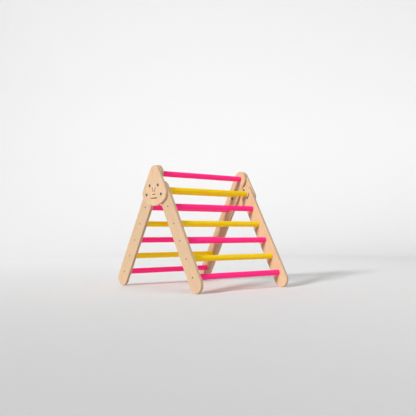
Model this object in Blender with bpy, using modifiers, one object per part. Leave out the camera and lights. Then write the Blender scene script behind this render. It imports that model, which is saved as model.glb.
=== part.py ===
"""A folding climbing triangle for toddlers: two rung ladders held together by a pair of head plates.

Lengths are in metres and +Z is up. X runs along the rungs, the front ladder stands towards -Y and
the origin is on the floor at the middle of the footprint. Left is the -X end, right is the +X end.
"""

from math import acos, atan2, cos, pi, radians, sin

import bmesh
import bpy
from mathutils import Matrix, Vector

# Ladders
LEG_TILT = radians(30)  # lean of each ladder from the vertical
RUNG_PITCH = 0.118  # between rungs, along the stiles
LAST_RUNG = 7  # the rung nearest the floor, counted down from the top one
CLEAR_WIDTH = 0.670  # between the inner faces of a ladder's stiles
RUNG_RADIUS = 0.0175
STILE_WIDTH = 0.1016  # just under RUNG_PITCH * sin(2 * LEG_TILT), so the stiles clear each other
STILE_THICKNESS = 0.020
FOOT_BEYOND_RUNG = 0.047  # from the last rung to the centre of the rounded foot
BOARD_ROUNDING = 0.003
SOCKET_DEPTH = 0.008  # how far a rung's end goes into the stile

# Head plates: a round hat on the top rung's axis, two cheeks and a chin
HEAD_THICKNESS = 0.018
HAT_RADIUS = 0.048
CHEEK_RADIUS = 0.052
CHEEK_DISTANCE = 0.142  # from the top rung's axis, along each stile
CHIN_DROP = 0.199  # from the top rung's axis to the bottom of the chin
FACE_GROOVE_DEPTH = 0.0012

# Fasteners
BOLT_SPACING = 0.0319  # from the second rung's axis to each bolt, up and down the stile
BOLT_RADIUS = 0.003
BOLT_HEAD_RADIUS = 0.0085
BOLT_HEAD_HEIGHT = 0.0025
BOLT_SOCKET_RADIUS = 0.0022
BOLT_SOCKET_DEPTH = 0.0015
BOLT_IN_NUT = 0.005
NUT_FLANGE_RADIUS = 0.008
NUT_FLANGE_HEIGHT = 0.0015
NUT_DOME_RADIUS = 0.0055
NUT_HEIGHT = 0.0075
SCREW_RADIUS = 0.0024
SCREW_HEAD_RADIUS = 0.0048
SCREW_HEAD_DEPTH = 0.0026
SCREW_LENGTH = 0.050
SCREW_TIP = 0.006
SCREW_SOCKET_RADIUS = 0.0018
SCREW_SOCKET_DEPTH = 0.0014

GAP = 0.0003  # between pieces that touch
CUT = 0.002  # how far a cutter runs past a face
WELD = 0.00002
TURNED_SIDES = 16
FASTENER_SIDES = 10

# What follows from them
STILE_RADIUS = STILE_WIDTH / 2
TOP_TO_FOOT = (LAST_RUNG - 1) * RUNG_PITCH + FOOT_BEYOND_RUNG
TOP_RUNG_HEIGHT = TOP_TO_FOOT * cos(LEG_TILT) + STILE_RADIUS
INNER_FACE = CLEAR_WIDTH / 2
OUTER_FACE = INNER_FACE + STILE_THICKNESS
HEAD_BACK = OUTER_FACE + GAP
HEAD_FRONT = HEAD_BACK + HEAD_THICKNESS
HOLE_RADIUS = BOLT_RADIUS + 0.0005
SOCKET_FLOOR = STILE_THICKNESS - SOCKET_DEPTH  # wood left between a socket and the outer face

SIDES = {"left": -1, "right": 1}
# Name, direction of the feet along Y and the first rung that each ladder carries
LADDERS = (("rear", 1, 1), ("front", -1, 2))


def clear_scene():
    for obj in list(bpy.data.objects):
        bpy.data.objects.remove(obj, do_unlink=True)


def new_collection(name):
    collection = bpy.data.collections.new(name)
    bpy.context.scene.collection.children.link(collection)
    return collection


def new_material(name, colour, roughness, metallic=0.0):
    material = bpy.data.materials.new(name)
    material.use_nodes = True
    shader = material.node_tree.nodes["Principled BSDF"]
    shader.inputs["Base Color"].default_value = (*colour, 1.0)
    shader.inputs["Roughness"].default_value = roughness
    shader.inputs["Metallic"].default_value = metallic
    return material


def place(name, mesh, collection, material=None, parent=None, at=(0, 0, 0), turn_y=0.0):
    obj = bpy.data.objects.new(name, mesh)
    collection.objects.link(obj)
    if material is not None and not mesh.materials:
        mesh.materials.append(material)
    obj.parent = parent
    obj.location = at
    obj.rotation_euler = (0, turn_y, 0)
    return obj


def new_frame(name, collection, at, tilt):
    """An empty whose -Z axis runs down a ladder, with the ladder's pieces as its children."""
    frame = bpy.data.objects.new(name, None)
    collection.objects.link(frame)
    frame.location = at
    frame.rotation_euler = (tilt, 0, 0)
    return frame


def mesh_of(obj, name):
    """The object's evaluated shape as a welded mesh. The object itself is removed."""
    bpy.context.view_layer.update()
    evaluated = obj.evaluated_get(bpy.context.evaluated_depsgraph_get())
    mesh = bpy.data.meshes.new_from_object(evaluated)
    mesh.name = name
    bpy.data.objects.remove(obj, do_unlink=True)
    bm = bmesh.new()
    bm.from_mesh(mesh)
    bmesh.ops.remove_doubles(bm, verts=bm.verts, dist=WELD)
    bmesh.ops.dissolve_limit(bm, angle_limit=radians(0.5), verts=bm.verts, edges=bm.edges)
    bm.to_mesh(mesh)
    bm.free()
    return mesh


def slab(name, outline, thickness):
    """A flat board: the outline's points are (y, z), and the thickness is centred on x = 0."""
    curve = bpy.data.curves.new(name, "CURVE")
    curve.dimensions = "2D"
    curve.fill_mode = "BOTH"
    curve.extrude = thickness / 2
    spline = curve.splines.new("POLY")
    spline.points.add(len(outline) - 1)
    for point, (y, z) in zip(spline.points, outline):
        point.co = (y, z, 0, 1)
    spline.use_cyclic_u = True
    obj = bpy.data.objects.new(name, curve)
    bpy.context.scene.collection.objects.link(obj)
    mesh = mesh_of(obj, name)
    mesh.transform(Matrix(((0, 0, 1, 0), (1, 0, 0, 0), (0, 1, 0, 0), (0, 0, 0, 1))))
    return mesh


def turned(name, profile, sides):
    """A turned piece on the Z axis. Its (radius, z) profile runs from the top to the bottom."""
    mesh = bpy.data.meshes.new(name)
    edges = [(i, i + 1) for i in range(len(profile) - 1)]
    mesh.from_pydata([(radius, 0, z) for radius, z in profile], edges, [])
    obj = bpy.data.objects.new(name, mesh)
    bpy.context.scene.collection.objects.link(obj)
    screw = obj.modifiers.new("Turn", "SCREW")
    screw.steps = screw.render_steps = sides
    screw.use_merge_vertices = True
    screw.merge_threshold = WELD
    return mesh_of(obj, name)


def arc(centre, radius, start, end, steps):
    """Points on an arc in the (y, z) plane, with both ends."""
    angles = [start + (end - start) * i / steps for i in range(steps + 1)]
    return [(centre[0] + radius * cos(a), centre[1] + radius * sin(a)) for a in angles]


def along_stile(distance, side):
    """(y, z) from the top rung's axis to a point down a stile's centre line, side being +1 or -1."""
    return (side * distance * sin(LEG_TILT), -distance * cos(LEG_TILT))


def smooth(obj):
    obj.data.shade_smooth()
    obj.data.set_sharp_from_angle(angle=radians(35))


def round_edges(obj, width):
    bevel = obj.modifiers.new("Rounding", "BEVEL")
    bevel.width = width
    bevel.segments = 2
    bevel.limit_method = "ANGLE"
    bevel.angle_limit = radians(40)


def cut(obj, cutters, collection, parent=None, at=(0, 0, 0)):
    """Cuts the object with one cutter that holds all of these (mesh, matrix) shapes."""
    bm = bmesh.new()
    for mesh, matrix in cutters:
        shape = mesh.copy()
        shape.transform(matrix)
        bm.from_mesh(shape)
        bpy.data.meshes.remove(shape)
    joined = bpy.data.meshes.new(obj.name + "_cutter")
    bm.to_mesh(joined)
    bm.free()
    cutter = place(obj.name + "_cutter", joined, collection, parent=parent, at=at)
    cutter.hide_render = True
    cutter.display_type = "WIRE"
    boolean = obj.modifiers.new("Holes", "BOOLEAN")
    boolean.operation = "DIFFERENCE"
    boolean.solver = "EXACT"
    boolean.object = cutter


def stile_outline(length):
    """A board with round ends: its top centre is the origin, and it runs down -Z."""
    top = arc((0, 0), STILE_RADIUS, 0, pi, 12)
    foot = arc((0, -length), STILE_RADIUS, pi, 2 * pi, 12)
    return top + foot


def head_outline():
    """Hat, cheeks and chin as tangent arcs about the top rung's axis."""
    cheek_y, cheek_z = along_stile(CHEEK_DISTANCE, 1)
    side = atan2(cheek_z, cheek_y) + acos((HAT_RADIUS - CHEEK_RADIUS) / CHEEK_DISTANCE)
    drop = CHIN_DROP - CHEEK_RADIUS
    chin_z = (CHEEK_DISTANCE**2 - drop**2) / (2 * (drop + cheek_z))
    chin_radius = chin_z + CHIN_DROP
    jaw = atan2(cheek_z - chin_z, cheek_y)
    hat = arc((0, 0), HAT_RADIUS, pi - side, side, 12)
    rear_cheek = arc((cheek_y, cheek_z), CHEEK_RADIUS, side, jaw, 8)
    chin = arc((0, chin_z), chin_radius, jaw, -pi - jaw, 10)
    front_cheek = arc((-cheek_y, cheek_z), CHEEK_RADIUS, -pi - jaw, -pi - side, 8)
    return hat + rear_cheek[1:] + chin[1:] + front_cheek[1:-1]


def capsule(start, end, radius):
    """The outline of a straight groove with round ends."""
    slope = atan2(end[1] - start[1], end[0] - start[0])
    near = arc(start, radius, slope + pi / 2, slope + 3 * pi / 2, 4)
    far = arc(end, radius, slope - pi / 2, slope + pi / 2, 4)
    return near + far


def bolt_places():
    """(name, side, distance down the stile) of the four bolts in each head plate."""
    for ladder, side, _ in LADDERS:
        yield f"{ladder}_upper", side, RUNG_PITCH - BOLT_SPACING
        yield f"{ladder}_lower", side, RUNG_PITCH + BOLT_SPACING


def fold_slot(end, thickness):
    """A slot that lets a bolt travel as the front ladder folds. It curves about the second rung.

    With the ladder open the bolt is at the slot's end angle, and it goes back along the slot from there.
    """
    start = end - 2 * LEG_TILT
    inner, outer = BOLT_SPACING - HOLE_RADIUS, BOLT_SPACING + HOLE_RADIUS
    first = (BOLT_SPACING * cos(start), BOLT_SPACING * sin(start))
    last = (BOLT_SPACING * cos(end), BOLT_SPACING * sin(end))
    outline = arc((0, 0), outer, start, end, 10)
    outline += arc(last, HOLE_RADIUS, end, end + pi, 6)[1:-1]
    outline += arc((0, 0), inner, end, start, 10)
    outline += arc(first, HOLE_RADIUS, start + pi, start + 2 * pi, 6)[1:-1]
    return slab("fold_slot", outline, thickness)


def socket_cutter(screwed):
    """A rung's socket, seen from the outer face at z = 0, with its screw's countersunk hole."""
    profile = [(0, CUT), (SCREW_HEAD_RADIUS + GAP, CUT), (SCREW_HEAD_RADIUS + GAP, -GAP)]
    profile += [(SCREW_RADIUS + GAP, -SCREW_HEAD_DEPTH - 2 * GAP), (SCREW_RADIUS + GAP, -SOCKET_FLOOR)]
    if not screwed:
        profile = [(0, -SOCKET_FLOOR)]
    profile += [(RUNG_RADIUS + GAP, -SOCKET_FLOOR), (RUNG_RADIUS + GAP, -STILE_THICKNESS - CUT)]
    profile += [(0, -STILE_THICKNESS - CUT)]
    return turned("socket", profile, TURNED_SIDES)


def outwards(sign):
    """Turns a piece whose +Z points out of the ladder towards that end's X."""
    return Matrix.Rotation(sign * pi / 2, 4, "Y")


def build_stile(ladder, side, first_rung, end, frame, parts, cutters, material):
    sign = SIDES[end]
    length = TOP_TO_FOOT - (first_rung - 1) * RUNG_PITCH
    mesh = slab(f"{ladder}_stile_{end}", stile_outline(length), STILE_THICKNESS)
    centre = (sign * (INNER_FACE + STILE_THICKNESS / 2), 0, 0)
    stile = place(f"{ladder}_stile_{end}", mesh, parts, material, frame, centre)
    smooth(stile)
    round_edges(stile, BOARD_ROUNDING)

    shapes = []
    for rung in range(first_rung, LAST_RUNG + 1):
        down = (rung - first_rung) * RUNG_PITCH
        at = Matrix.Translation((sign * STILE_THICKNESS / 2, 0, -down))
        shapes.append((socket_cutter(screwed=rung > 1), at @ outwards(sign)))
    if ladder == "rear":
        hole = [(0, STILE_THICKNESS), (HOLE_RADIUS, STILE_THICKNESS)]
        hole += [(HOLE_RADIUS, -STILE_THICKNESS), (0, -STILE_THICKNESS)]
        bore = turned("bolt_hole", hole, FASTENER_SIDES)
        for distance in (RUNG_PITCH - BOLT_SPACING, RUNG_PITCH + BOLT_SPACING):
            shapes.append((bore, Matrix.Translation((0, 0, -distance)) @ outwards(sign)))
    else:
        for end_angle in (pi / 2, -pi / 2):
            slot = fold_slot(end_angle, STILE_THICKNESS + 2 * CUT)
            shapes.append((slot, Matrix.Identity(4)))
    cut(stile, shapes, cutters, frame, centre)


def build_rung(name, screwed, frame, at, parts, material):
    """A dowel, with a pilot hole in each end where it is screwed."""
    half = INNER_FACE + SOCKET_DEPTH - GAP
    pilot = SCREW_RADIUS + GAP
    floor = half - (SCREW_LENGTH - SOCKET_FLOOR) - CUT
    upper = [(0, floor), (pilot, floor), (pilot, half), (RUNG_RADIUS, half)]
    if not screwed:
        upper = [(0, half), (RUNG_RADIUS, half)]
    lower = [(radius, -z) for radius, z in reversed(upper)]
    rung = place(name, turned(name, upper + lower, TURNED_SIDES), parts, material, frame, at, pi / 2)
    smooth(rung)


def screw_mesh():
    """A countersunk wood screw: z = 0 is the outer face of the stile."""
    profile = [(0, -GAP - SCREW_SOCKET_DEPTH), (SCREW_SOCKET_RADIUS, -GAP - SCREW_SOCKET_DEPTH)]
    profile += [(SCREW_SOCKET_RADIUS, -GAP), (SCREW_HEAD_RADIUS, -GAP)]
    profile += [(SCREW_RADIUS, -GAP - SCREW_HEAD_DEPTH)]
    profile += [(SCREW_RADIUS, SCREW_TIP - SCREW_LENGTH), (0, -SCREW_LENGTH)]
    return turned("rung_screw", profile, FASTENER_SIDES)


def bolt_mesh():
    """A flat-headed connector bolt: z = 0 is the outer face of the head plate."""
    top = GAP + BOLT_HEAD_HEIGHT
    edge = 0.0007
    length = HEAD_FRONT - INNER_FACE + BOLT_IN_NUT
    profile = [(0, top - BOLT_SOCKET_DEPTH), (BOLT_SOCKET_RADIUS, top - BOLT_SOCKET_DEPTH)]
    profile += [(BOLT_SOCKET_RADIUS, top), (BOLT_HEAD_RADIUS - edge, top)]
    profile += [(BOLT_HEAD_RADIUS, top - edge), (BOLT_HEAD_RADIUS, GAP)]
    profile += [(BOLT_RADIUS, GAP), (BOLT_RADIUS, -length), (0, -length)]
    return turned("head_bolt", profile, FASTENER_SIDES)


def nut_mesh():
    """A domed cap nut: z = 0 is the inner face of the stile and +Z points into the ladder."""
    bore = HOLE_RADIUS
    profile = [(0, NUT_HEIGHT), (NUT_DOME_RADIUS * 0.6, NUT_HEIGHT)]
    profile += [(NUT_DOME_RADIUS, NUT_HEIGHT - 0.0025), (NUT_DOME_RADIUS, NUT_FLANGE_HEIGHT)]
    profile += [(NUT_FLANGE_RADIUS, NUT_FLANGE_HEIGHT), (NUT_FLANGE_RADIUS, GAP), (bore, GAP)]
    profile += [(bore, BOLT_IN_NUT + 2 * GAP), (0, BOLT_IN_NUT + 2 * GAP)]
    return turned("cap_nut", profile, FASTENER_SIDES)


def build_ladder(ladder, side, first_rung, frame, parts, cutters, looks):
    for end in SIDES:
        build_stile(ladder, side, first_rung, end, frame, parts, cutters, looks["birch"])
    for rung in range(first_rung, LAST_RUNG + 1):
        down = (rung - first_rung) * RUNG_PITCH
        paint = looks["pink"] if rung % 2 else looks["yellow"]
        name = f"{ladder}_rung_{rung}"
        build_rung(name, rung > 1, frame, (0, 0, -down), parts, paint)
        if rung == 1:
            continue
        for end, sign in SIDES.items():
            at = (sign * OUTER_FACE, 0, -down)
            turn = sign * pi / 2
            screw = place(f"{name}_screw_{end}", screw_mesh(), parts, looks["zinc"], frame, at, turn)
            smooth(screw)


def build_head(end, frame, parts, cutters, looks):
    sign = SIDES[end]
    mesh = slab(f"head_plate_{end}", head_outline(), HEAD_THICKNESS)
    centre = (sign * (HEAD_BACK + HEAD_THICKNESS / 2), 0, 0)
    plate = place(f"head_plate_{end}", mesh, parts, looks["birch"], frame, centre)
    smooth(plate)
    round_edges(plate, BOARD_ROUNDING)

    profile = [(0, HEAD_THICKNESS), (HOLE_RADIUS, HEAD_THICKNESS)]
    profile += [(HOLE_RADIUS, -HEAD_THICKNESS), (0, -HEAD_THICKNESS)]
    bore = turned("bolt_hole", profile, FASTENER_SIDES)
    shapes = []
    for _, side, distance in bolt_places():
        y, z = along_stile(distance, side)
        shapes.append((bore, Matrix.Translation((0, y, z)) @ outwards(sign)))
    # The engraved face: two nose lines, a short line under them and the mouth.
    grooves = (
        ((0.016, -0.088), (0.008, -0.112), 0.0024),
        ((-0.016, -0.088), (-0.008, -0.112), 0.0024),
        ((0.013, -0.129), (-0.013, -0.129), 0.0024),
        ((0.030, -0.152), (-0.030, -0.152), 0.0028),
    )
    surface = Matrix.Translation((sign * HEAD_THICKNESS / 2, 0, 0))
    for start, stop, radius in grooves:
        groove = slab("face_groove", capsule(start, stop, radius), 2 * FACE_GROOVE_DEPTH)
        shapes.append((groove, surface))
    cut(plate, shapes, cutters, frame, centre)


def build_bolts(end, frame, parts, looks):
    """The head's bolts and their nuts, which stay with the rear ladder and the head plates."""
    sign = SIDES[end]
    for name, side, distance in bolt_places():
        y, z = along_stile(distance, side)
        bolt = place(
            f"bolt_{name}_{end}", bolt_mesh(), parts, looks["dark_steel"], frame,
            (sign * HEAD_FRONT, y, z), sign * pi / 2,
        )
        nut = place(
            f"cap_nut_{name}_{end}", nut_mesh(), parts, looks["dark_steel"], frame,
            (sign * INNER_FACE, y, z), -sign * pi / 2,
        )
        smooth(bolt)
        smooth(nut)


def main():
    clear_scene()
    parts = new_collection("climbing_triangle")
    cutters = new_collection("cutters")
    looks = {
        "birch": new_material("birch", (0.80, 0.58, 0.38), 0.55),
        "pink": new_material("pink_paint", (0.93, 0.03, 0.19), 0.35),
        "yellow": new_material("yellow_paint", (0.87, 0.55, 0.01), 0.35),
        "dark_steel": new_material("dark_steel", (0.08, 0.13, 0.14), 0.35, 1.0),
        "zinc": new_material("zinc_plate", (0.45, 0.47, 0.42), 0.40, 1.0),
    }
    top = Vector((0, 0, TOP_RUNG_HEIGHT))
    head_frame = new_frame("head_frame", parts, top, 0.0)
    for ladder, side, first_rung in LADDERS:
        y, z = along_stile((first_rung - 1) * RUNG_PITCH, side)
        frame = new_frame(f"{ladder}_frame", parts, top + Vector((0, y, z)), side * LEG_TILT)
        build_ladder(ladder, side, first_rung, frame, parts, cutters, looks)
    for end in SIDES:
        build_head(end, head_frame, parts, cutters, looks)
        build_bolts(end, head_frame, parts, looks)


main()
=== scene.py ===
"""The looks of a folding climbing triangle for toddlers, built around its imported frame.

Two ladders of painted rungs meet under a pair of pear-shaped head plates. Lengths are in metres and
+Z is up. X runs along the rungs, the front ladder stands towards -Y and left is the -X end.
"""

from functools import cache
from math import acos, atan2, copysign, cos, pi, radians, sin

import bmesh
import bpy
from bpy.props import FloatProperty, FloatVectorProperty, IntProperty, PointerProperty
from mathutils import Matrix, Vector


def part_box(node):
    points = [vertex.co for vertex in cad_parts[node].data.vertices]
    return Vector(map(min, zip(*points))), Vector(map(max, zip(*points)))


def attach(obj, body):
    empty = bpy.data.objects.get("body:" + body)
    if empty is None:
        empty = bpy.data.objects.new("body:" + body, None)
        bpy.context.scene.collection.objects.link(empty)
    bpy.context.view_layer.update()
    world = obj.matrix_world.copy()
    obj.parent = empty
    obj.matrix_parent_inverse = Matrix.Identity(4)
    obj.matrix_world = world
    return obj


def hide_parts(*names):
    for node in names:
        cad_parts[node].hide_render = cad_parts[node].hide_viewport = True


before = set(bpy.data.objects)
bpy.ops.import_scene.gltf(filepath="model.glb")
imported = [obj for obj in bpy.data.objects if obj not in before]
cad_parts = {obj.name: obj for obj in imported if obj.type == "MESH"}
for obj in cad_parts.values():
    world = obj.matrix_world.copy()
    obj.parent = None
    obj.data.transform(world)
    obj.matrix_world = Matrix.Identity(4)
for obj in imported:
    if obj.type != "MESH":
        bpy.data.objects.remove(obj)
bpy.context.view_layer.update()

bl_info = {
    "name": "Climbing Triangle",
    "version": (1, 0, 0),
    "blender": (4, 5, 0),
    "location": "3D View > Sidebar > Climber",
    "description": "Boards, head plates, painted rungs and fasteners of a folding climbing triangle",
    "category": "Add Mesh",
}

ENDS = {"left": -1, "right": 1}
# The left stiles' wood is drawn a little darker than the right ones', and both darker than the head
# plates'
TONES = {"left": 0.90, "right": 0.95}
# Name, direction of the feet along Y and the first rung that each ladder carries
LADDERS = (("rear", 1, 1), ("front", -1, 2))
LAST_RUNG = 7
LEVELS = ("upper", "lower")
# The head bolts without their end: rear_upper, rear_lower and so on
BOLTS = [f"{ladder}_{level}" for ladder, _, _ in LADDERS for level in LEVELS]
MM = 0.001
QUARTER = pi / 2
# Points nearer than this are one point. A fastener's fine details need a closer one.
WELD = 0.005 * MM
FINE_WELD = 0.001 * MM
# Faces that meet at more than this show an edge
SHARP_ANGLE = radians(40)


# ---------------------------------------------------------------------------------------------
# Places, read from the frame
# ---------------------------------------------------------------------------------------------


@cache
def box_of(node):
    """The low and high corners of a node's box."""
    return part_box(node)


def centre_of(node):
    low, high = box_of(node)
    return (low + high) / 2


def rung_axis(ladder, rung):
    """The middle of a rung. Those below the top one stand in equal steps."""
    if rung == 1:
        return centre_of(f"{ladder}_rung_1")
    second = centre_of(f"{ladder}_rung_2")
    last = centre_of(f"{ladder}_rung_{LAST_RUNG}")
    return second + (last - second) * (rung - 2) / (LAST_RUNG - 2)


def down_ladder(ladder):
    """The direction of a ladder's feet, down its stiles."""
    return (rung_axis(ladder, LAST_RUNG) - rung_axis(ladder, 2)).normalized()


def lean_of(ladder):
    """How far a ladder leans from upright. Feet towards +Y make it positive."""
    down = down_ladder(ladder)
    return atan2(down.y, -down.z)


def faces_of(node):
    """X of a board's inner and outer faces."""
    low, high = box_of(node)
    return sorted((low.x, high.x), key=abs)


HEAD_BOARD = box_of("head_plate_left")
TOP_RUNG = rung_axis("rear", 1)
FOOT_RADIUS = TOP_RUNG.y - box_of("rear_stile_left")[0].y
CHIN_DROP = TOP_RUNG.z - HEAD_BOARD[0].z
HAT_RADIUS = HEAD_BOARD[1].z - TOP_RUNG.z
HEAD_HALF_WIDTH = HEAD_BOARD[1].y


# ---------------------------------------------------------------------------------------------
# Colours
# ---------------------------------------------------------------------------------------------


def linear(hex_code):
    """An sRGB hex colour as linear RGBA."""
    values = [int(hex_code[i : i + 2], 16) / 255 for i in (1, 3, 5)]
    return (*(v / 12.92 if v <= 0.04045 else ((v + 0.055) / 1.055) ** 2.4 for v in values), 1.0)


def size_property(name, metres, description):
    return FloatProperty(
        name=name, description=description, default=metres, min=0.0, precision=4, unit="LENGTH"
    )


def colour_property(name, hex_code, description):
    return FloatVectorProperty(
        name=name, description=description, default=linear(hex_code), size=4, subtype="COLOR",
        min=0.0, max=1.0,
    )


# ---------------------------------------------------------------------------------------------
# Settings
# ---------------------------------------------------------------------------------------------


class ClimberSizes(bpy.types.PropertyGroup):
    """Sizes that the frame's boxes don't give."""

    edge_rounding: size_property("Edge rounding", 0.003, "Radius along the boards' edges")
    rung_diameter: size_property("Rung diameter", 0.035, "Diameter of the turned rungs")
    rung_easing: size_property("Rung easing", 0.0008, "Radius at the rungs' ends")
    socket_depth: size_property("Socket depth", 0.008, "How far a rung goes into its stile")
    play: size_property("Play", 0.0003, "Room round a piece that sits in another")
    cheek_radius: size_property("Cheek radius", 0.052, "Radius of the head plates' cheeks")
    groove_depth: size_property("Groove depth", 0.0012, "Depth of the engraved lines")
    bolt_diameter: size_property("Bolt diameter", 0.006, "Diameter of the head bolts' shanks")
    bolt_head: size_property("Bolt head", 0.017, "Diameter of the head bolts' flat heads")
    bolt_hole: size_property("Bolt hole", 0.007, "Diameter of the holes for the head bolts")
    screw_diameter: size_property("Screw diameter", 0.0048, "Diameter of the rungs' screws")
    screw_head: size_property("Screw head", 0.0096, "Diameter of the countersunk screw heads")
    nut_flange: size_property("Nut flange", 0.016, "Diameter of the cap nuts' flanges")
    curve_steps: IntProperty(
        name="Curve steps", description="Straight pieces in a half turn of a board's outline",
        default=48, min=8, max=96,
    )
    turned_steps: IntProperty(
        name="Turned steps", description="Sides of the turned pieces", default=96, min=12, max=192,
    )


class ClimberColours(bpy.types.PropertyGroup):
    """Colours of the finishes."""

    wood: colour_property("Birch", "#D2B18F", "Birch between its growth rings")
    ring: colour_property("Growth rings", "#CCAA86", "Birch along its growth rings")
    scorch: colour_property("Engraving", "#75462A", "Birch where the laser has browned it")
    pink: colour_property("Pink", "#FF2681", "Paint on the odd rungs")
    yellow: colour_property("Yellow", "#E9C500", "Paint on the even rungs")
    dark_steel: colour_property("Dark steel", "#67868C", "Plating of the head bolts and cap nuts")
    zinc: colour_property("Zinc", "#5F655A", "Plating of the rungs' screws")


class ClimberStage(bpy.types.PropertyGroup):
    """Floor, lights and camera."""

    floor: colour_property("Floor", "#DFDFDF", "Colour of the cloth underfoot")
    wall: colour_property("Backdrop", "#C9C9C9", "Colour of the upright cloth")
    floor_radius: size_property("Floor radius", 5.0, "Radius of the flat part of the floor")
    sweep_radius: size_property("Sweep radius", 3.0, "Radius where the floor turns up")
    backdrop_height: size_property("Backdrop height", 8.0, "Height of the backdrop")
    # Painted light: the backdrop cloth itself glows, with no lamp behind it
    glow: FloatProperty(
        name="Backdrop glow", description="Light that comes through the backdrop", default=0.41, min=0.0
    )
    glow_reach: size_property("Glow reach", 12.5, "How far the backdrop's glow spreads")
    # Middle of the backdrop's painted glow; no lamp stands there
    glow_centre: FloatVectorProperty(
        name="Backdrop glow centre", description="Middle of the backdrop's glow", size=3,
        subtype="TRANSLATION", unit="LENGTH", default=(-0.6, 8.1, 5.0),
    )
    key_light: FloatProperty(
        name="Key light", description="Light from beyond the left end, in W/m2", default=3.25, min=0.0
    )
    key_softness: FloatProperty(
        name="Key softness", description="How wide the key light looks", default=radians(12),
        min=0.0, unit="ROTATION",
    )
    key_place: FloatVectorProperty(
        name="Key place", description="Where the key light comes from", size=3,
        subtype="TRANSLATION", unit="LENGTH", default=(-10.0, -1.8, 4.8),
    )
    top_light: FloatProperty(
        name="Top light", description="Softbox overhead", default=80, min=0.0, unit="POWER"
    )
    front_light: FloatProperty(
        name="Front light", description="Low fill in front of the ladders", default=22, min=0.0,
        unit="POWER",
    )
    lens: FloatProperty(
        name="Lens", description="Focal length in millimetres on a 36 mm sensor", default=54.5,
        min=1.0,
    )
    camera_place: FloatVectorProperty(
        name="Camera place", description="Where the camera stands", size=3, subtype="TRANSLATION",
        unit="LENGTH", default=(-2.572, -3.134, 0.352),
    )
    camera_pitch: FloatProperty(
        name="Camera pitch", description="How far the camera looks up", default=radians(2.11),
        unit="ROTATION",
    )
    camera_yaw: FloatProperty(
        name="Camera yaw", description="How far the camera turns from +Y to +X",
        default=radians(39.98), unit="ROTATION",
    )


# ---------------------------------------------------------------------------------------------
# Drawing with bmesh operators
# ---------------------------------------------------------------------------------------------


def verts_in(parts):
    """The vertices among the parts that an operator made."""
    return [part for part in parts if isinstance(part, bmesh.types.BMVert)]


def line_to(bm, vert, step):
    """A straight edge from the vertex. Returns its far end."""
    far = bmesh.ops.extrude_vert_indiv(bm, verts=[vert])["verts"][0]
    far.co += Vector(step)
    return far


def arc_to(bm, vert, centre, angle, steps):
    """An arc from the vertex about an X axis through the centre. Returns its far end."""
    made = bmesh.ops.spin(
        bm, geom=[vert], cent=centre, axis=(1, 0, 0), angle=angle, steps=steps, use_merge=False
    )
    return verts_in(made["geom_last"])[0]


def closed(bm, known):
    """Closes an outline just drawn, whose two ends meet. Returns its edges."""
    verts = [v for v in bm.verts if v not in known]
    bmesh.ops.remove_doubles(bm, verts=verts, dist=WELD)
    return list({edge for v in verts if v.is_valid for edge in v.link_edges})


def capsule(bm, start, end, radius, steps):
    """An outline with straight sides and round ends about the start and the end."""
    known = set(bm.verts)
    along = end - start
    across = Matrix.Rotation(-QUARTER, 3, "X") @ -along.normalized()
    place = bm.verts.new(start + radius * across)
    place = arc_to(bm, place, start, pi, steps)
    place = line_to(bm, place, along)
    place = arc_to(bm, place, end, pi, steps)
    line_to(bm, place, -along)
    return closed(bm, known)


def head_outline(bm, x, sizes, steps):
    """Hat, cheeks and chin: tangent arcs about the top rung's axis."""
    known = set(bm.verts)
    lean = lean_of("rear")
    cheek = sizes.cheek_radius
    reach = (HEAD_HALF_WIDTH - cheek) / sin(lean)
    cheek_y, cheek_z = reach * sin(lean), -reach * cos(lean)
    side = atan2(cheek_z, cheek_y) + acos((HAT_RADIUS - cheek) / reach)
    drop = CHIN_DROP - cheek
    chin_z = (reach**2 - drop**2) / (2 * (drop + cheek_z))
    jaw = atan2(cheek_z - chin_z, cheek_y)
    hat = Vector((x, TOP_RUNG.y, TOP_RUNG.z))
    rear_cheek = hat + Vector((0, cheek_y, cheek_z))
    front_cheek = hat + Vector((0, -cheek_y, cheek_z))
    chin = hat + Vector((0, 0, chin_z))
    out = Vector((0, cos(side), sin(side)))
    start = bm.verts.new(hat + HAT_RADIUS * out)
    end = line_to(bm, start, rear_cheek + cheek * out - hat - HAT_RADIUS * out)
    end = arc_to(bm, end, rear_cheek, jaw - side, steps // 2)
    end = arc_to(bm, end, chin, -pi - 2 * jaw, steps // 2)
    end = arc_to(bm, end, front_cheek, jaw - side, steps // 2)
    out.y = -out.y
    end = line_to(bm, end, hat + HAT_RADIUS * out - front_cheek - cheek * out)
    arc_to(bm, end, hat, 2 * side - pi, steps)
    return closed(bm, known)


def curved_slot(bm, x, pivot, bolt, travel, radius, steps):
    """A slot outline round the path that the bolt takes about the pivot."""
    known = set(bm.verts)
    pivot, bolt = Vector((x, pivot.y, pivot.z)), Vector((x, bolt.y, bolt.z))
    out = (bolt - pivot).normalized()
    far = pivot + Matrix.Rotation(travel, 3, "X") @ (bolt - pivot)
    half_turn = copysign(pi, travel)
    end = bm.verts.new(bolt - radius * out)
    end = arc_to(bm, end, bolt, half_turn, steps)
    end = arc_to(bm, end, pivot, travel, steps)
    end = arc_to(bm, end, far, half_turn, steps)
    arc_to(bm, end, pivot, -travel, steps)
    return closed(bm, known)


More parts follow.
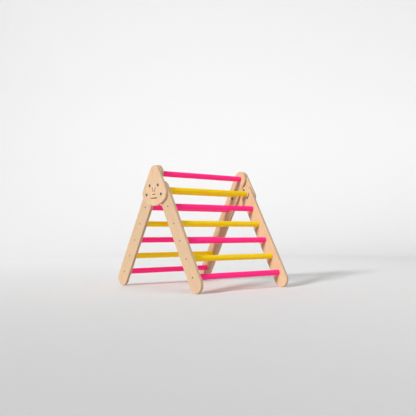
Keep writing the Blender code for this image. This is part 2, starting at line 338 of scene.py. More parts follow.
def rounded_slab(bm, outline, thickness, rounding, steps=5):
    """A board from a closed outline. It lies on +X of the outline and its rims are rounded.

    Its two flat faces are left open, for holes to be drawn in them."""
    face = bmesh.ops.edgeloop_fill(bm, edges=outline)["faces"][0]
    made = bmesh.ops.extrude_face_region(bm, geom=[face])["geom"]
    far = next(part for part in made if isinstance(part, bmesh.types.BMFace))
    bmesh.ops.translate(bm, verts=far.verts[:], vec=(thickness - 2 * rounding, 0, 0))
    bmesh.ops.recalc_face_normals(bm, faces=bm.faces)
    for cap in (face, far):
        for i in range(steps):
            start, end = QUARTER * i / steps, QUARTER * (i + 1) / steps
            bmesh.ops.inset_region(
                bm, faces=[cap], use_even_offset=True,
                thickness=rounding * (cos(start) - cos(end)), depth=rounding * (sin(end) - sin(start)),
            )
    bmesh.ops.delete(bm, geom=[face, far], context="FACES_ONLY")


def turn_profile(bm, profile, steps, y=0, z=0):
    """Turns a profile of (x, radius) points about the line along X at (y, z)."""
    verts = [bm.verts.new((x, y + radius, z)) for x, radius in profile]
    edges = [bm.edges.new(pair) for pair in zip(verts, verts[1:])]
    bmesh.ops.spin(
        bm, geom=verts + edges, cent=(0, y, z), axis=(1, 0, 0), angle=2 * pi, steps=steps,
        use_merge=True,
    )


def quarter_round(x, radius, size, x_turn, radius_turn, steps=3):
    """(x, radius) points round a turned corner at x, from its face to its side."""
    points = []
    for i in range(steps + 1):
        a = QUARTER * i / steps
        points.append((x + x_turn * size * (1 - cos(a)), radius + radius_turn * size * (1 - sin(a))))
    return points


def fill_faces(bm, x):
    """Closes a flat face at x, round the holes in it."""
    rims = [
        e for e in bm.edges
        if len(e.link_faces) < 2 and all(abs(v.co.x - x) < 2 * WELD for v in e.verts)
    ]
    bmesh.ops.triangle_fill(bm, edges=rims, use_beauty=True, use_dissolve=False)


def finish(name, bm, materials, body, node):
    """Makes the piece that stands for a node, riding on the node's body."""
    bmesh.ops.remove_doubles(bm, verts=bm.verts, dist=WELD)
    bmesh.ops.recalc_face_normals(bm, faces=bm.faces)
    mesh = bpy.data.meshes.new(name)
    bm.to_mesh(mesh)
    bm.free()
    for material in materials:
        mesh.materials.append(material)
    mesh.shade_smooth()
    mesh.set_sharp_from_angle(angle=SHARP_ANGLE)
    piece = bpy.data.objects.new(name, mesh)
    bpy.context.scene.collection.objects.link(piece)
    weighted = piece.modifiers.new("Flat faces stay flat", "WEIGHTED_NORMAL")
    weighted.keep_sharp = True
    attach(piece, body)
    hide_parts(node)


# ---------------------------------------------------------------------------------------------
# Materials
# ---------------------------------------------------------------------------------------------


def feed(tree, socket, source):
    """Links the socket from another node's output, or sets it to a value."""
    if isinstance(source, bpy.types.NodeSocket):
        tree.links.new(source, socket)
    else:
        socket.default_value = source


def add_node(tree, kind, inputs=None, **settings):
    """Adds a shader node. An input is a value, or another node's output to link from."""
    node = tree.nodes.new("ShaderNode" + kind)
    for name, value in settings.items():
        setattr(node, name, value)
    for socket, source in (inputs or {}).items():
        feed(tree, node.inputs[socket], source)
    return node


def new_material(name):
    """A material with its node tree and shader."""
    material = bpy.data.materials.new(name)
    material.use_nodes = True
    tree = material.node_tree
    return material, tree, tree.nodes["Principled BSDF"]


def plug(tree, shader, **sources):
    """Links or sets the shader's sockets. Base_Color means Base Color."""
    for name, source in sources.items():
        feed(tree, shader.inputs[name.replace("_", " ")], source)


RINGS_PER_SCALE = 20 / (2 * pi)  # a Wave Texture of scale 1 has this many rings in a metre


def birch(name, lean, heart, colours, tone=1.0, scorched=False):
    """Solid birch, planed and sanded to a fine grit under a matt clear oil.

    Its growth rings cross the board as long arches on the faces, straight lines on the edges and
    arcs on end grain, so the pattern is a solid one about the tree's heart. Fine fibres and short
    pores run along the grain. The oil leaves a low, even sheen. Lean turns the grain with the board,
    and heart is how far the tree's heart is from the board."""
    material, tree, shader = new_material(name)
    place = add_node(tree, "TexCoord").outputs["Object"]
    grain = add_node(
        tree, "Mapping", {"Vector": place, "Rotation": (-lean, 0, 0), "Location": heart}
    ).outputs["Vector"]

    # The trunk isn't straight: its rings wander by a few millimetres over a forearm's length
    slow = add_node(tree, "VectorMath", {0: grain, 1: (1, 1, 0.18)}, operation="MULTIPLY").outputs[0]
    wander = add_node(tree, "TexNoise", {"Vector": slow, "Scale": 14.0, "Detail": 2.0}).outputs["Color"]
    centred = add_node(
        tree, "VectorMath", {0: wander, 1: (0.5, 0.5, 0.5)}, operation="SUBTRACT"
    ).outputs[0]
    sway = add_node(
        tree, "VectorMath", {0: centred, 1: (14 * MM, 14 * MM, 0)}, operation="MULTIPLY"
    ).outputs[0]
    bent = add_node(tree, "VectorMath", {0: grain, 1: sway}, operation="ADD").outputs[0]
    rings = add_node(
        tree, "TexWave", {"Vector": bent, "Scale": 1 / (3.4 * MM) / RINGS_PER_SCALE, "Detail": 0.0},
        wave_type="RINGS", rings_direction="Z", wave_profile="SAW",
    ).outputs["Fac"]
    late_wood = add_node(tree, "ValToRGB", {"Fac": rings})
    ramp = late_wood.color_ramp.elements
    for element, position in zip(ramp, (0.35, 0.95)):
        element.position = position
        element.color = (0, 0, 0, 1)
    ramp.new(0.86).color = (1, 1, 1, 1)

    # Fibres drawn a millimetre thick and up to 80 mm long, because real ones are too fine to show
    thin = add_node(tree, "VectorMath", {0: grain, 1: (1, 1, 0.02)}, operation="MULTIPLY").outputs[0]
    fibres = add_node(
        tree, "TexNoise", {"Vector": thin, "Scale": 1 / (1.6 * MM), "Detail": 4.0, "Roughness": 0.65}
    ).outputs["Fac"]
    # Soft cloudy figure, two fingers wide and over twice as long
    broad = add_node(tree, "VectorMath", {0: grain, 1: (1, 1, 0.4)}, operation="MULTIPLY").outputs[0]
    clouds = add_node(
        tree, "TexNoise", {"Vector": broad, "Scale": 1 / (38 * MM), "Detail": 3.0}
    ).outputs["Fac"]
    # Pores: short dark dashes, drawn half a millimetre wide because real ones are too fine to show
    dashes = add_node(tree, "VectorMath", {0: grain, 1: (1, 1, 0.075)}, operation="MULTIPLY").outputs[0]
    pores = add_node(
        tree, "TexNoise", {"Vector": dashes, "Scale": 1 / (1.1 * MM), "Detail": 1.0}
    ).outputs["Fac"]
    pore = add_node(
        tree, "MapRange", {"Value": pores, "From Min": 0.66, "From Max": 0.74, "To Max": 0.35}
    ).outputs["Result"]

    colour = add_node(
        tree, "Mix", {0: late_wood.outputs["Color"], 6: colours.wood, 7: colours.ring}, data_type="RGBA"
    ).outputs[2]
    streak = add_node(
        tree, "MapRange",
        {"Value": fibres, "From Min": 0.3, "From Max": 0.7, "To Min": 0.95 * tone, "To Max": 1.04 * tone},
    ).outputs["Result"]
    cloud = add_node(
        tree, "MapRange",
        {"Value": clouds, "From Min": 0.3, "From Max": 0.7, "To Min": 0.95, "To Max": 1.04},
    ).outputs["Result"]
    both = add_node(tree, "Math", {0: streak, 1: cloud}, operation="MULTIPLY").outputs[0]
    shaded = add_node(tree, "VectorMath", {0: colour, "Scale": both}, operation="SCALE").outputs[0]
    marked = add_node(tree, "Mix", {0: pore, 6: shaded, 7: colours.ring}, data_type="RGBA").outputs[2]
    if scorched:
        # A laser browns the floor of its cut, and the fibres show through as darker streaks
        streaks = add_node(
            tree, "MapRange",
            {"Value": fibres, "From Min": 0.3, "From Max": 0.7, "To Min": 0.80, "To Max": 1.1},
        ).outputs["Result"]
        marked = add_node(
            tree, "VectorMath", {0: colours.scorch[:3], "Scale": streaks}, operation="SCALE"
        ).outputs[0]
    sheen = add_node(
        tree, "MapRange",
        {"Value": fibres, "From Min": 0.3, "From Max": 0.7, "To Min": 0.62, "To Max": 0.50},
    ).outputs["Result"]
    height = add_node(tree, "Math", {0: fibres, 1: pore}, operation="SUBTRACT").outputs[0]
    bump = add_node(
        tree, "Bump", {"Height": height, "Strength": 0.25, "Distance": 0.15 * MM}
    ).outputs["Normal"]
    plug(tree, shader, Base_Color=marked, Roughness=sheen, Normal=bump, IOR=1.48)
    return material


def rung_paint(name, colour):
    """Satin water-based paint on a sanded dowel.

    Two thin coats let the wood's long fibres show as faint ridges, drawn about 2 mm apart so that
    they show. The brush leaves the film a little thicker along some of them, so both the colour and
    the gloss drift along the rung. The paint also glows faintly in its own colour: painted light that
    makes the rungs brighter than the lamps alone light them."""
    material, tree, shader = new_material(name)
    place = add_node(tree, "TexCoord").outputs["Object"]
    long = add_node(tree, "VectorMath", {0: place, 1: (0.02, 1, 1)}, operation="MULTIPLY").outputs[0]
    fibres = add_node(
        tree, "TexNoise", {"Vector": long, "Scale": 1 / (2.2 * MM), "Detail": 3.0}
    ).outputs["Fac"]
    patches = add_node(tree, "VectorMath", {0: place, 1: (0.25, 1, 1)}, operation="MULTIPLY").outputs[0]
    film = add_node(
        tree, "TexNoise", {"Vector": patches, "Scale": 1 / (24 * MM), "Detail": 2.0}
    ).outputs["Fac"]
    drift = add_node(tree, "Math", {0: fibres, 1: film}, operation="ADD").outputs[0]
    tone = add_node(
        tree, "MapRange",
        {"Value": drift, "From Min": 0.7, "From Max": 1.3, "To Min": 0.93, "To Max": 1.04},
    ).outputs["Result"]
    shaded = add_node(tree, "VectorMath", {0: colour[:3], "Scale": tone}, operation="SCALE").outputs[0]
    gloss = add_node(
        tree, "MapRange",
        {"Value": film, "From Min": 0.3, "From Max": 0.7, "To Min": 0.50, "To Max": 0.40},
    ).outputs["Result"]
    bump = add_node(
        tree, "Bump", {"Height": fibres, "Strength": 0.2, "Distance": 0.12 * MM}
    ).outputs["Normal"]
    # Painted glow: the paint gives off light in its own colour, though the rungs are no lamp
    plug(
        tree, shader, Base_Color=shaded, Roughness=gloss, Normal=bump, IOR=1.5,
        Specular_IOR_Level=0.18, Emission_Color=shaded, Emission_Strength=0.18,
    )
    return material


def plated_steel(name, colour, grit, roughness):
    """Steel, cold-headed and plated.

    The plating's crystals make it matt. They are drawn grit wide, because real ones are too fine to
    show. Handling has worn it a little brighter in patches about 6 mm wide."""
    material, tree, shader = new_material(name)
    place = add_node(tree, "TexCoord").outputs["Object"]
    crystals = add_node(
        tree, "TexNoise", {"Vector": place, "Scale": 1 / grit, "Detail": 4.0}
    ).outputs["Fac"]
    wear = add_node(
        tree, "TexNoise", {"Vector": place, "Scale": 1 / (6 * MM), "Detail": 2.0}
    ).outputs["Fac"]
    tone = add_node(
        tree, "MapRange",
        {"Value": wear, "From Min": 0.3, "From Max": 0.7, "To Min": 0.8, "To Max": 1.25},
    ).outputs["Result"]
    shaded = add_node(tree, "VectorMath", {0: colour[:3], "Scale": tone}, operation="SCALE").outputs[0]
    spread = 0.08
    rough = add_node(
        tree, "MapRange",
        {"Value": crystals, "From Min": 0.3, "From Max": 0.7,
         "To Min": roughness - spread, "To Max": roughness + spread},
    ).outputs["Result"]
    bump = add_node(
        tree, "Bump", {"Height": crystals, "Strength": 0.2, "Distance": 0.05 * MM}
    ).outputs["Normal"]
    plug(tree, shader, Base_Color=shaded, Roughness=rough, Normal=bump, Metallic=1.0)
    return material


def backdrop_cloth(name, stage):
    """Matt white background cloth, woven, with its threads drawn 4 mm apart.

    Its far side glows: painted light from the cloth itself, brightest about the middle of the glow and
    fading out over the floor. No lamp stands behind it."""
    material, tree, shader = new_material(name)
    place = add_node(tree, "TexCoord").outputs["Object"]
    weave = add_node(
        tree, "TexNoise", {"Vector": place, "Scale": 1 / (4 * MM), "Detail": 2.0}
    ).outputs["Fac"]
    bump = add_node(
        tree, "Bump", {"Height": weave, "Strength": 0.05, "Distance": 0.1 * MM}
    ).outputs["Normal"]
    off = add_node(
        tree, "VectorMath", {0: place, 1: stage.glow_centre}, operation="DISTANCE"
    ).outputs["Value"]
    # Painted light: the cloth glows most near the middle of its glow and less with distance
    glow = add_node(
        tree, "MapRange",
        {"Value": off, "From Max": stage.glow_reach, "To Min": stage.glow, "To Max": 0.0},
        interpolation_type="SMOOTHSTEP",
    ).outputs["Result"]
    far = add_node(tree, "VectorMath", {0: place}, operation="LENGTH").outputs["Value"]
    upright = add_node(
        tree, "MapRange",
        {"Value": far, "From Min": 0.5 * stage.floor_radius,
         "From Max": stage.floor_radius + stage.sweep_radius},
        interpolation_type="SMOOTHSTEP",
    ).outputs["Result"]
    cloth = add_node(
        tree, "Mix", {0: upright, 6: stage.floor, 7: stage.wall}, data_type="RGBA"
    ).outputs[2]
    plug(
        tree, shader, Base_Color=cloth, Roughness=0.9, Normal=bump,
        Emission_Color=(1, 1, 1, 1), Emission_Strength=glow,
    )
    return material


# ---------------------------------------------------------------------------------------------
# Boards and rungs
# ---------------------------------------------------------------------------------------------


# Engraved lines: two for a nose, a dash and a mouth. Each has the (y, z) of its ends from the top rung's
# axis, and half its width.
FACE_LINES = (
    ((0.016, -0.088), (0.008, -0.112), 0.0029),
    ((-0.016, -0.088), (-0.008, -0.112), 0.0029),
    ((0.013, -0.129), (-0.013, -0.129), 0.0029),
    ((0.030, -0.152), (-0.030, -0.152), 0.0034),
)


def socket_profile(sizes, inner, outer, screwed):
    """A rung's socket in a stile, from the inner face. A screwed one goes on to a countersunk hole."""
    out = copysign(1, outer - inner)
    radius = sizes.rung_diameter / 2 + sizes.play
    floor = inner + out * sizes.socket_depth
    easing = 0.6 * MM
    profile = [*quarter_round(inner, radius, easing, out, 1), (floor, radius)]
    if not screwed:
        return [*profile, (floor, 0)]
    hole = sizes.screw_diameter / 2 + sizes.play
    head = sizes.screw_head / 2 + sizes.play
    profile += [(floor, hole), (outer - out * (head - hole), hole), (outer - out * sizes.play, head)]
    return [*profile, (outer, head)]


def drill(bm, sizes, inner, outer, bolt):
    """A straight hole for a bolt, through a board."""
    hole, at = sizes.bolt_hole / 2, centre_of(bolt)
    turn_profile(bm, [(inner, hole), (outer, hole)], sizes.turned_steps // 2, at.y, at.z)


def close_board(bm, inner, outer):
    """Closes a board's two flat faces, round all that is cut in them."""
    bmesh.ops.remove_doubles(bm, verts=bm.verts, dist=WELD)
    fill_faces(bm, inner)
    fill_faces(bm, outer)


def draw_stile(bm, sizes, ladder, first, end):
    """A stile with its rung sockets, and its bolt holes or the slots that the fold needs."""
    node = f"{ladder}_stile_{end}"
    low, _ = box_of(node)
    inner, outer = faces_of(node)
    top, foot, down = rung_axis(ladder, first), rung_axis(ladder, LAST_RUNG), down_ladder(ladder)
    foot = foot + down * ((foot.z - FOOT_RADIUS - low.z) / -down.z)
    centres = [Vector((low.x + sizes.edge_rounding, at.y, at.z)) for at in (top, foot)]
    outline = capsule(bm, *centres, FOOT_RADIUS, sizes.curve_steps)
    rounded_slab(bm, outline, abs(outer - inner), sizes.edge_rounding)
    for rung in range(first, LAST_RUNG + 1):
        at = rung_axis(ladder, rung)
        profile = socket_profile(sizes, inner, outer, rung > 1)
        turn_profile(bm, profile, sizes.turned_steps, at.y, at.z)
    for level in LEVELS:
        bolt = f"bolt_{ladder}_{level}_{end}"
        if ladder == "rear":
            drill(bm, sizes, inner, outer, bolt)
            continue
        at, radius, travel = centre_of(bolt), sizes.bolt_hole / 2, 2 * lean_of(ladder)
        loops = [curved_slot(bm, x, top, at, travel, radius, steps=12) for x in (inner, outer)]
        bmesh.ops.bridge_loops(bm, edges=loops[0] + loops[1])
    close_board(bm, inner, outer)


def engrave(bm, sizes, outer, start, stop, half_width):
    """A round-bottomed line cut in a board's outer face, with the second material."""
    ends = [Vector((outer, TOP_RUNG.y + y, TOP_RUNG.z + z)) for y, z in (start, stop)]
    outline = capsule(bm, *ends, half_width, steps=10)
    floor = bmesh.ops.edgeloop_fill(bm, edges=outline)["faces"][0]
    floor.normal_update()
    if floor.normal.x * outer < 0:
        floor.normal_flip()
    bm.normal_update()
    cut = [floor]
    # Each step goes in by a share of half the width and down by a share of the depth
    for inset, depth in ((0.12, 0.5), (0.2, 0.3), (0.3, 0.2)):
        cut += bmesh.ops.inset_region(
            bm, faces=[floor], use_even_offset=True, use_boundary=True,
            thickness=inset * half_width, depth=-depth * sizes.groove_depth,
        )["faces"]
    for face in cut:
        face.material_index = 1


def draw_head_plate(bm, sizes, end):
    """A head plate with its bolt holes and engraved lines."""
    inner, outer = faces_of(f"head_plate_{end}")
    outline = head_outline(bm, min(inner, outer) + sizes.edge_rounding, sizes, sizes.curve_steps)
    rounded_slab(bm, outline, abs(outer - inner), sizes.edge_rounding)
    for name in BOLTS:
        drill(bm, sizes, inner, outer, f"bolt_{name}_{end}")
    for start, stop, half_width in FACE_LINES:
        engrave(bm, sizes, outer, start, stop, half_width)
    close_board(bm, inner, outer)


def draw_rung(bm, sizes, node, screwed):
    """A dowel with eased ends. A screwed one has a pilot hole in each end."""
    at, half = centre_of(node), box_of(node)[1].x
    face = [(half, 0)]
    if screwed:
        pilot, pilot_depth = sizes.screw_diameter / 2 + sizes.play, 40 * MM
        face = [(half - pilot_depth, 0), (half - pilot_depth, pilot), (half, pilot)]
    right = face + quarter_round(half, sizes.rung_diameter / 2, sizes.rung_easing, -1, -1)
    left = [(-x, radius) for x, radius in reversed(right)]
    turn_profile(bm, right + left, sizes.turned_steps, at.y, at.z)


# ---------------------------------------------------------------------------------------------
# Fasteners
# ---------------------------------------------------------------------------------------------


def seat_fastener(bm, node, sign, turn):
    """Turns a fastener drawn along -X from its face at x = 0, and seats it where its node is."""
    low, high = box_of(node)
    centre = centre_of(node)
    face = high.x if sign > 0 else low.x
    spin = Matrix.Rotation(turn, 4, "X")
    flip = Matrix.Identity(4) if sign > 0 else Matrix.Rotation(pi, 4, "Z")
    place = Matrix.Translation((face, centre.y, centre.z)) @ flip @ spin
    bmesh.ops.transform(bm, matrix=place, verts=bm.verts)


def length_of(node):
    low, high = box_of(node)
    return high.x - low.x


def cross_recess(bm, width, span, depth, taper):
    """A cross-shaped recess in the face at x = 0, narrowing to its floor."""
    grid = bmesh.ops.create_grid(bm, x_segments=3, y_segments=3, size=1)["verts"]
    # The grid's inner lines bound the cross's arms, and its outer lines end them
    for vert in grid:
        y, z = (copysign(width if abs(value) < 0.5 else span, value) / 2 for value in vert.co.xy)
        vert.co = (0, y, z)
    faces = list({face for vert in grid for face in vert.link_faces})
    corners = [f for f in faces if min(map(abs, f.calc_center_median().yz)) > width / 2]
    cross = [f for f in faces if f not in corners]
    bmesh.ops.delete(bm, geom=corners, context="FACES")
    face = bmesh.ops.dissolve_faces(bm, faces=cross)["region"][0]
    floor = verts_in(bmesh.ops.extrude_face_region(bm, geom=[face])["geom"])
    bmesh.ops.delete(bm, geom=[face], context="FACES_ONLY")
    bmesh.ops.scale(bm, verts=floor, vec=(1, taper, taper))
    bmesh.ops.translate(bm, verts=floor, vec=(-depth, 0, 0))


def hexagon_walls(bm, across, start, stop):
    """The six walls of a hexagon, from x = start to x = stop. Returns the edges at stop."""
    corners = bmesh.ops.create_circle(bm, segments=6, radius=across / 2 / cos(pi / 6))["verts"]
    bmesh.ops.rotate(bm, verts=corners, cent=(0, 0, 0), matrix=Matrix.Rotation(QUARTER, 3, "Y"))
    bmesh.ops.translate(bm, verts=corners, vec=(start, 0, 0))
    rim = list({edge for vert in corners for edge in vert.link_edges})
    walls = bmesh.ops.extrude_edge_only(bm, edges=rim)["geom"]
    far = verts_in(walls)
    bmesh.ops.translate(bm, verts=far, vec=(stop - start, 0, 0))
    return list({edge for vert in far for edge in vert.link_edges if edge.other_vert(vert) in far})


def threads(start, stop, pitch, core, crest, roots):
    """Points of plain thread rings from x = start to about x = stop.

    Roots are where a ring is down to its core, as shares of the pitch."""
    points = []
    x = start
    while x > stop:
        points += [(x - share * pitch, core) for share in roots]
        points.append((x - pitch, crest))
        x -= pitch
    return points


def draw_screw(bm, sizes, length):
    """A countersunk wood screw along -X, with its face at x = 0."""
    head, shank = sizes.screw_head / 2, sizes.screw_diameter / 2
    easing, rim = 0.2 * MM, 0.3 * MM
    pitch, core, tip = 2.2 * MM, 0.72 * shank, 6 * MM
    smooth = 0.4 * length
    profile = [(0, head - easing), (-easing, head), (shank - head - rim, shank), (-smooth, shank)]
    profile += threads(-smooth, tip - length, pitch, core, shank, (0.35, 0.65))
    profile += [(tip - length, core), (-length, 0)]
    turn_profile(bm, profile, sizes.turned_steps // 3)
    cross_recess(bm, width=1.1 * MM, span=5.2 * MM, depth=1.8 * MM, taper=0.5)
    bmesh.ops.remove_doubles(bm, verts=bm.verts, dist=FINE_WELD)
    fill_faces(bm, 0.0)


def draw_bolt(bm, sizes, length):
    """A connector bolt along -X: flat head with an eased rim, hexagon socket and a threaded shank."""
    head, shank = sizes.bolt_head / 2, sizes.bolt_diameter / 2
    head_height, easing, draft = 2.5 * MM, 0.9 * MM, 0.2 * MM
    pitch, core = 1 * MM, 0.86 * shank
    smooth = 0.55 * length
    profile = quarter_round(0, head, easing, -1, -1, steps=4)
    profile += [(-head_height, head - draft), (-head_height, shank), (-smooth, shank)]
    profile += threads(-smooth, 2 * pitch - length, pitch, core, shank, (0.5,))
    profile += [(-length, core), (-length, 0)]
    turn_profile(bm, profile, sizes.turned_steps // 2)
    socket_across, socket_depth = 4 * MM, 1.6 * MM
    bmesh.ops.edgeloop_fill(bm, edges=hexagon_walls(bm, socket_across, 0, -socket_depth))
    bmesh.ops.remove_doubles(bm, verts=bm.verts, dist=FINE_WELD)
    fill_faces(bm, 0.0)


def draw_cap_nut(bm, sizes, height):
    """A cap nut with its dome at x = 0 and its flange's back at x = -height."""
    flange, bore, bore_depth = sizes.nut_flange / 2, sizes.bolt_hole / 2, 5 * MM
    flange_front = 1.2 * MM - height
    rim_drop, rim_inset = 0.3 * MM, 0.4 * MM
    across, dome = 10 * MM, 4.6 * MM
    shoulder = -0.75 * dome
    steps = sizes.turned_steps // 2
    arc_steps = 8
    arc = []
    for i in range(arc_steps + 1):
        a = QUARTER * (1 - i / arc_steps)
        arc.append((shoulder * (1 - sin(a)), dome * cos(a)))
    turn_profile(bm, arc, steps)
    hexagon_walls(bm, across, shoulder, flange_front)
    rim = [(flange_front, flange - rim_inset), (flange_front - rim_drop, flange), (-height, flange)]
    rim += [(-height, bore), (bore_depth - height, bore), (bore_depth - height, 0)]
    turn_profile(bm, rim, steps)
    bmesh.ops.remove_doubles(bm, verts=bm.verts, dist=FINE_WELD)
    fill_faces(bm, shoulder)
    fill_faces(bm, flange_front)


# ---------------------------------------------------------------------------------------------
# Stage
# ---------------------------------------------------------------------------------------------


# What the lamps are aimed at: the middle of the ladders
MIDDLE = Vector((0, 0, 0.4))


def draw_backdrop(bm, stage):
    """A round floor that sweeps up into an upright wall."""
    sweep, sweep_steps, round_steps = stage.sweep_radius, 24, 96
    end = line_to(bm, bm.verts.new((0, 0, 0)), (0, stage.floor_radius, 0))
    end = arc_to(bm, end, end.co + Vector((0, 0, sweep)), QUARTER, sweep_steps)
    line_to(bm, end, (0, 0, stage.backdrop_height - sweep))
    bmesh.ops.spin(
        bm, geom=bm.verts[:] + bm.edges[:], cent=(0, 0, 0), axis=(0, 0, 1), angle=2 * pi,
        steps=round_steps, use_merge=True,
    )
    bmesh.ops.remove_doubles(bm, verts=bm.verts, dist=WELD)
    bmesh.ops.recalc_face_normals(bm, faces=bm.faces)


def add_lamp(name, kind, place, energy):
    """A lamp that lights the ladders and isn't seen itself. Returns its settings."""
    light = bpy.data.lights.new(name, kind)
    light.energy = energy
    lamp = bpy.data.objects.new(name, light)
    bpy.context.scene.collection.objects.link(lamp)
    lamp.location = place
    lamp.rotation_euler = (MIDDLE - Vector(place)).to_track_quat("-Z", "Y").to_euler()
    lamp.visible_camera = False
    return light


def add_softbox(name, place, width, height, watts):
    """A lamp behind an oblong diffuser."""
    light = add_lamp(name, "AREA", place, watts)
    light.shape = "RECTANGLE"
    light.size, light.size_y = width, height


def add_camera(stage):
    lens = bpy.data.cameras.new("camera")
    lens.lens = stage.lens
    lens.sensor_width = 36
    camera = bpy.data.objects.new("camera", lens)
    bpy.context.scene.collection.objects.link(camera)
    camera.location = stage.camera_place
    camera.rotation_euler = (QUARTER + stage.camera_pitch, 0, -stage.camera_yaw)
    bpy.context.scene.camera = camera


# ---------------------------------------------------------------------------------------------
# Operators
# ---------------------------------------------------------------------------------------------


class CLIMBER_OT_stage(bpy.types.Operator):
    """Set up the seamless pale floor and backdrop, soft lights and the camera"""

    bl_idname = "climber.stage"
    bl_label = "Stage"

    def execute(self, context):
        scene, stage = context.scene, context.scene.climber_stage
        bm = bmesh.new()
        draw_backdrop(bm, stage)
        mesh = bpy.data.meshes.new("backdrop")
        bm.to_mesh(mesh)
        bm.free()
        mesh.materials.append(backdrop_cloth("glowing_background_cloth", stage))
        mesh.shade_smooth()
        backdrop = bpy.data.objects.new("backdrop", mesh)
        backdrop.visible_shadow = False  # the key light shines over it
        scene.collection.objects.link(backdrop)

        key = add_lamp("key_light", "SUN", stage.key_place, stage.key_light)
        key.angle = stage.key_softness
        above, in_front = (0, 0, 5.5), (0.8, -4.3, 1.7)
        add_softbox("top_softbox", above, width=3.0, height=3.0, watts=stage.top_light)
        add_softbox("front_fill", in_front, width=2.4, height=1.2, watts=stage.front_light)
        # All the light comes from the lamps and the backdrop
        world = bpy.data.worlds.new("studio_air")
        world.use_nodes = True
        world.node_tree.nodes["Background"].inputs["Strength"].default_value = 0.0
        scene.world = world
        add_camera(stage)
        scene.view_settings.view_transform = "Standard"
        return {"FINISHED"}


class CLIMBER_OT_stiles(bpy.types.Operator):
    """Make the four round-ended stiles with their sockets, bolt holes and fold slots"""

    bl_idname = "climber.stiles"
    bl_label = "Stiles"

    def execute(self, context):
        sizes, colours = context.scene.climber_sizes, context.scene.climber_colours
        heart_depth, heart_offset = 0.075, 0.012
        for ladder, side, first in LADDERS:
            for end, sign in ENDS.items():
                node = f"{ladder}_stile_{end}"
                # Each board comes from another length of the trunk
                length = 0.3 * sign + 0.1 * side
                heart = (sign * (heart_depth - faces_of(node)[0]), side * heart_offset, length)
                wood = birch(f"birch_{ladder}_{end}", lean_of(ladder), heart, colours, TONES[end])
                bm = bmesh.new()
                draw_stile(bm, sizes, ladder, first, end)
                finish(f"{ladder}_board_{end}", bm, [wood], f"{ladder}_ladder", node)
        return {"FINISHED"}


class CLIMBER_OT_head_plates(bpy.types.Operator):
    """Make the two pear-shaped head plates with their bolt holes and engraved face lines"""

    bl_idname = "climber.head_plates"
    bl_label = "Head plates"

    def execute(self, context):
        sizes, colours = context.scene.climber_sizes, context.scene.climber_colours
        heart_depth, heart_offset, length = 0.085, 0.02, 0.55
        for end, sign in ENDS.items():
            node = f"head_plate_{end}"
            heart = (sign * (heart_depth - faces_of(node)[0]), sign * heart_offset, length)
            woods = [
                birch(f"birch_head_{end}", 0.0, heart, colours),
                birch(f"engraved_birch_{end}", 0.0, heart, colours, scorched=True),
            ]
            bm = bmesh.new()
            draw_head_plate(bm, sizes, end)
            finish(f"face_board_{end}", bm, woods, "rear_ladder", node)
        return {"FINISHED"}


class CLIMBER_OT_rungs(bpy.types.Operator):
    """Make the thirteen painted rungs"""

    bl_idname = "climber.rungs"
    bl_label = "Rungs"

    def execute(self, context):
        sizes, colours = context.scene.climber_sizes, context.scene.climber_colours
        paints = {
            "pink": rung_paint("satin_pink_paint", colours.pink),
            "yellow": rung_paint("satin_yellow_paint", colours.yellow),
        }
        for ladder, _, first in LADDERS:
            for rung in range(first, LAST_RUNG + 1):
                node = f"{ladder}_rung_{rung}"
                paint = "pink" if rung % 2 else "yellow"
                bm = bmesh.new()
                draw_rung(bm, sizes, node, rung > 1)
                finish(
                    f"{ladder}_dowel_{rung}", bm, [paints[paint]], f"{ladder}_ladder", node,
                )
        return {"FINISHED"}


class CLIMBER_OT_screws(bpy.types.Operator):
    """Make the twenty-four countersunk cross-head screws that hold the rungs"""

    bl_idname = "climber.screws"
    bl_label = "Rung screws"

    def execute(self, context):
        sizes, colours = context.scene.climber_sizes, context.scene.climber_colours
        zinc = plated_steel("zinc_plated_steel", colours.zinc, grit=0.4 * MM, roughness=0.42)
        # Each screw stops at another angle
        step = radians(37)
        turn = 0
        for ladder, _, _ in LADDERS:
            body = f"{ladder}_ladder"
            for rung in range(2, LAST_RUNG + 1):
                for end, sign in ENDS.items():
                    node = f"{ladder}_rung_{rung}_screw_{end}"
                    turn += step
                    bm = bmesh.new()
                    draw_screw(bm, sizes, length_of(node))
                    seat_fastener(bm, node, sign, turn)
                    finish(f"{ladder}_wood_screw_{rung}_{end}", bm, [zinc], body, node)
        return {"FINISHED"}


def make_head_fasteners(context, material, draw, node_prefix, piece_prefix, outward, step):
    """One fastener for each hole in the head plates, facing out (1) or in (-1).

    Each is turned further by step, so that no two look the same."""
    sizes, colours = context.scene.climber_sizes, context.scene.climber_colours
    steel = plated_steel(material, colours.dark_steel, grit=0.5 * MM, roughness=0.38)
    for number, name in enumerate(BOLTS):
        for end, sign in ENDS.items():
            node = f"{node_prefix}_{name}_{end}"
            bm = bmesh.new()
            draw(bm, sizes, length_of(node))
            seat_fastener(bm, node, outward * sign, step * (number + sign))
            finish(f"{piece_prefix}_{name}_{end}", bm, [steel], "rear_ladder", node)


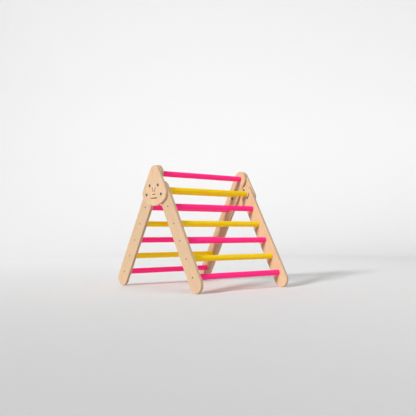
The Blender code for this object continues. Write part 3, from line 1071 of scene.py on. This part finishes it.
class CLIMBER_OT_bolts(bpy.types.Operator):
    """Make the eight flat-headed bolts of the head plates"""

    bl_idname = "climber.bolts"
    bl_label = "Head bolts"

    def execute(self, context):
        make_head_fasteners(
            context, "dark_plated_steel", draw_bolt, "bolt", "connector_bolt", outward=1,
            step=radians(23),
        )
        return {"FINISHED"}


class CLIMBER_OT_cap_nuts(bpy.types.Operator):
    """Make the eight domed cap nuts inside the ladders"""

    bl_idname = "climber.cap_nuts"
    bl_label = "Cap nuts"

    def execute(self, context):
        make_head_fasteners(
            context, "dark_plated_nut_steel", draw_cap_nut, "cap_nut", "domed_nut", outward=-1,
            step=radians(41),
        )
        return {"FINISHED"}


class CLIMBER_PT_panel(bpy.types.Panel):
    """Lists the pieces' operators and their settings"""

    bl_idname = "CLIMBER_PT_panel"
    bl_label = "Climbing Triangle"
    bl_space_type = "VIEW_3D"
    bl_region_type = "UI"
    bl_category = "Climber"

    def draw(self, context):
        for operator in OPERATORS:
            self.layout.operator(operator.bl_idname)
        for settings in (
            context.scene.climber_sizes, context.scene.climber_colours, context.scene.climber_stage,
        ):
            box = self.layout.box()
            for name in settings.__annotations__:
                box.prop(settings, name)


OPERATORS = (
    CLIMBER_OT_stage,
    CLIMBER_OT_stiles,
    CLIMBER_OT_head_plates,
    CLIMBER_OT_rungs,
    CLIMBER_OT_screws,
    CLIMBER_OT_bolts,
    CLIMBER_OT_cap_nuts,
)
CLASSES = (ClimberSizes, ClimberColours, ClimberStage, *OPERATORS, CLIMBER_PT_panel)


def register():
    for cls in CLASSES:
        bpy.utils.register_class(cls)
    bpy.types.Scene.climber_sizes = PointerProperty(type=ClimberSizes)
    bpy.types.Scene.climber_colours = PointerProperty(type=ClimberColours)
    bpy.types.Scene.climber_stage = PointerProperty(type=ClimberStage)


def unregister():
    del bpy.types.Scene.climber_stage
    del bpy.types.Scene.climber_colours
    del bpy.types.Scene.climber_sizes
    for cls in reversed(CLASSES):
        bpy.utils.unregister_class(cls)


def main():
    register()
    for operator in OPERATORS:
        group, name = operator.bl_idname.split(".")
        getattr(getattr(bpy.ops, group), name)()


if __name__ == "__main__":
    main()
